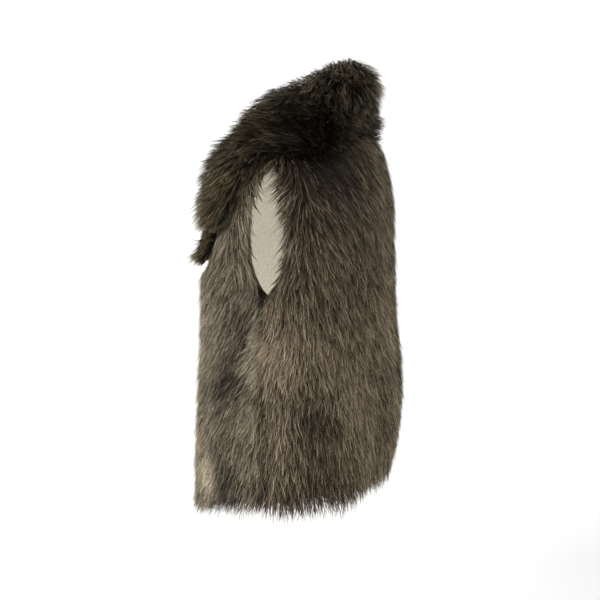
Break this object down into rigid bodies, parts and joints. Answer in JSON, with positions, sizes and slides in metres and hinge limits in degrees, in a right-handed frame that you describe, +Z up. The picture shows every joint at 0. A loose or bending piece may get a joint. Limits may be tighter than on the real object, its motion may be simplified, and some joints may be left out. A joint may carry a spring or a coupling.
{
  "type": "faux fur vest",
  "caption": "Sleeveless open-front faux fur vest, hollow as if worn, with a deep fur collar that stands at the neck and rolls over, turned-back lapels and open armholes.",
  "frame": {"origin": "middle of the neck opening, at the height where the collar meets the shoulders: the shoulders carry the vest", "axes": "+Z up, the front faces -Y, and +X is towards the wearer's left"},
  "size_m": [0.4718, 0.3239, 0.7254],
  "materials": {
    "body_fur": "long soft pile, taupe with pale streaks over dark roots",
    "collar_fur": "long soft pile, darker and greener than the body"
  },
  "bodies": {
    "root": {"front_left": "body_fur", "front_right": "body_fur", "back": "body_fur", "collar": "collar_fur", "lapel_left": "collar_fur", "lapel_right": "collar_fur"}
  },
  "joints": []
}
